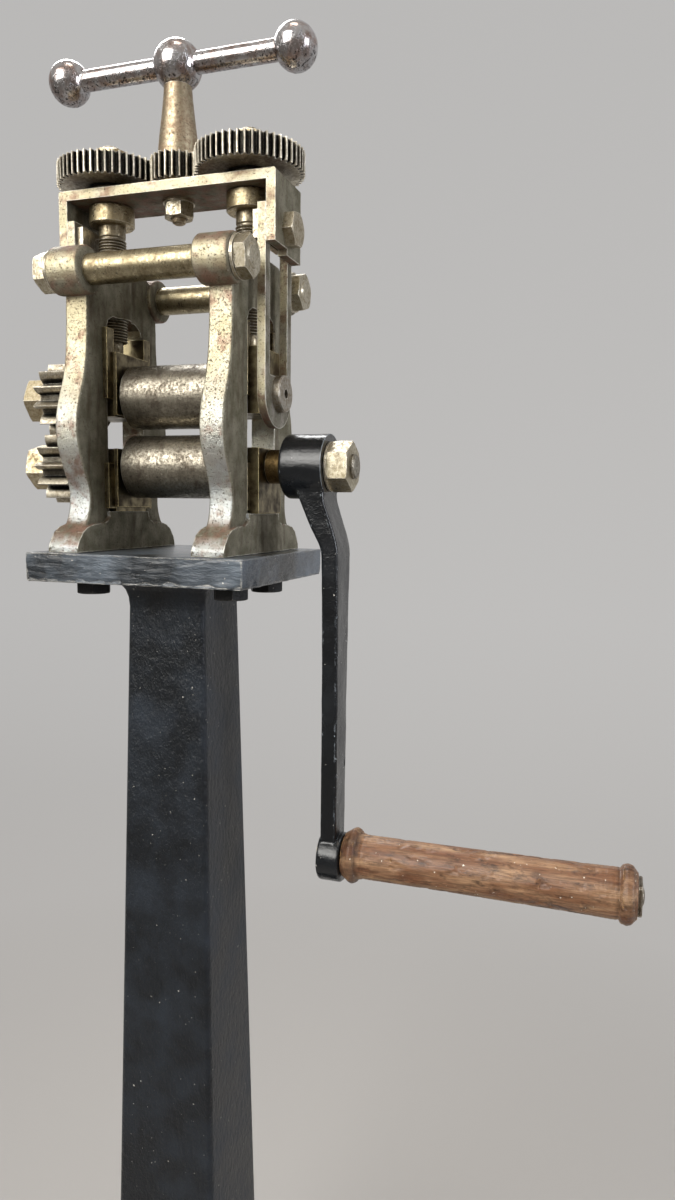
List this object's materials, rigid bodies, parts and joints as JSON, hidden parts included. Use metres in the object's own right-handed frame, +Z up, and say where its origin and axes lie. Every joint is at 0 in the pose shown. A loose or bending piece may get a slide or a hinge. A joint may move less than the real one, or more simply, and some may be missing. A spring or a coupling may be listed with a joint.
{
  "type": "jewellers rolling mill",
  "caption": "Hand-cranked bench rolling mill on a post stand: geared steel rolls in cast side frames, a T handle that sets the gap through screw gears, and a crank with a wooden grip.",
  "frame": {"origin": "centre of the floor plate's underside, on the floor", "axes": "+Z up, +X towards the crank along the rolls, -Y towards the person who stands at the mill"},
  "size_m": [0.4893, 0.32, 1.1496],
  "materials": {
    "painted_stand": "rough blue-black paint over steel",
    "black_bolts": "black oxide",
    "plated_cast_iron": "worn nickel plating, speckled",
    "plated_steel_bar": "worn nickel plating",
    "browned_steel_tube": "browned, satin",
    "plated_fasteners": "worn plating",
    "roll_steel": "hardened, satin, lightly stained",
    "gear_steel": "cut teeth, bright, oily in the gaps",
    "screw_steel": "turned, oily",
    "bearing_bronze": "dark worn bronze",
    "key_steel": "ground",
    "handle_steel": "polished, pitted",
    "crank_paint": "gloss black",
    "grip_fittings": "dark, worn",
    "grip_wood": "turned hardwood, worn finish"
  },
  "bodies": {
    "stand": {"floor_plate": "painted_stand", "stand_post": "painted_stand", "mounting_plate": "painted_stand", "mill_bolts": "black_bolts", "mill_washers": "black_bolts", "left_frame": "plated_cast_iron", "right_frame": "plated_cast_iron", "left_liners": "bearing_bronze", "right_liners": "bearing_bronze", "front_spacer_tube": "browned_steel_tube", "rear_spacer_tube": "browned_steel_tube", "tie_bolts": "plated_fasteners", "tie_washers": "plated_fasteners", "tie_nuts": "plated_fasteners", "lower_left_block": "bearing_bronze", "lower_right_block": "bearing_bronze"},
    "bridge_and_straps": {"bridge": "plated_steel_bar", "left_strap": "plated_steel_bar", "right_strap": "plated_steel_bar", "strap_bolts": "plated_fasteners", "strap_clamps": "plated_steel_bar", "strap_screw": "plated_fasteners", "hanger_sleeve": "bearing_bronze", "upper_left_block": "bearing_bronze", "upper_right_block": "bearing_bronze", "spindle_bush": "bearing_bronze"},
    "adjusting_handle": {"handle_spindle": "handle_steel", "pinion": "gear_steel", "pinion_key": "key_steel", "spindle_washer": "plated_fasteners", "spindle_nut": "plated_fasteners", "handle_ball": "handle_steel", "handle_bar": "handle_steel", "handle_knobs": "handle_steel"},
    "left_pressure_screw": {"left_screw": "screw_steel", "left_screw_gear": "gear_steel", "left_collar": "screw_steel", "left_screw_nut": "plated_fasteners"},
    "right_pressure_screw": {"right_screw": "screw_steel", "right_screw_gear": "gear_steel", "right_collar": "screw_steel", "right_screw_nut": "plated_fasteners"},
    "lower_shaft": {"lower_roll": "roll_steel", "lower_roll_gear": "gear_steel", "lower_gear_key": "key_steel", "lower_gear_nut": "plated_fasteners", "crank_arm": "crank_paint", "crank_key": "key_steel", "crank_spacer": "bearing_bronze", "crank_washer": "plated_fasteners", "crank_nut": "plated_fasteners", "grip_spindle": "grip_fittings", "grip_washer": "grip_fittings"},
    "upper_shaft": {"upper_roll": "roll_steel", "upper_roll_gear": "gear_steel", "upper_gear_key": "key_steel", "upper_gear_nut": "plated_fasteners"},
    "wooden_grip": {"grip": "grip_wood"}
  },
  "joints": [
    {"name": "crank_spin", "type": "hinge", "parent": "stand", "child": "lower_shaft", "pos_m": [0, 0, 0.8603], "axis": [1, 0, 0], "continuous": true},
    {"name": "upper_roll_spin", "type": "hinge", "parent": "bridge_and_straps", "child": "upper_shaft", "pos_m": [0, 0, 0.9097], "axis": [1, 0, 0], "continuous": true},
    {"name": "grip_spin", "type": "hinge", "parent": "lower_shaft", "child": "wooden_grip", "pos_m": [0.227, 0, 0.5878], "axis": [1, 0, 0], "continuous": true},
    {"name": "handle_spin", "type": "hinge", "parent": "bridge_and_straps", "child": "adjusting_handle", "pos_m": [0, 0, 1], "axis": [0, 0, 1], "range_deg": [-1540, 785]},
    {"name": "bridge_slide", "type": "slide", "parent": "stand", "child": "bridge_and_straps", "axis": [0, 0, 1], "range_m": [-0.0043, 0.0022]},
    {"name": "left_screw_spin", "type": "hinge", "parent": "bridge_and_straps", "child": "left_pressure_screw", "pos_m": [-0.054, 0, 1], "axis": [0, 0, 1], "range_deg": [-395, 775]},
    {"name": "right_screw_spin", "type": "hinge", "parent": "bridge_and_straps", "child": "right_pressure_screw", "pos_m": [0.054, 0, 1], "axis": [0, 0, 1], "range_deg": [-395, 775]}
  ],
  "couplings": [
    {"joint": "upper_roll_spin", "follows": "crank_spin", "ratio": -1},
    {"joint": "left_screw_spin", "follows": "handle_spin", "ratio": -0.5},
    {"joint": "right_screw_spin", "follows": "handle_spin", "ratio": -0.5},
    {"joint": "bridge_slide", "follows": "handle_spin", "m_per_rad": 0.00015915}
  ]
}
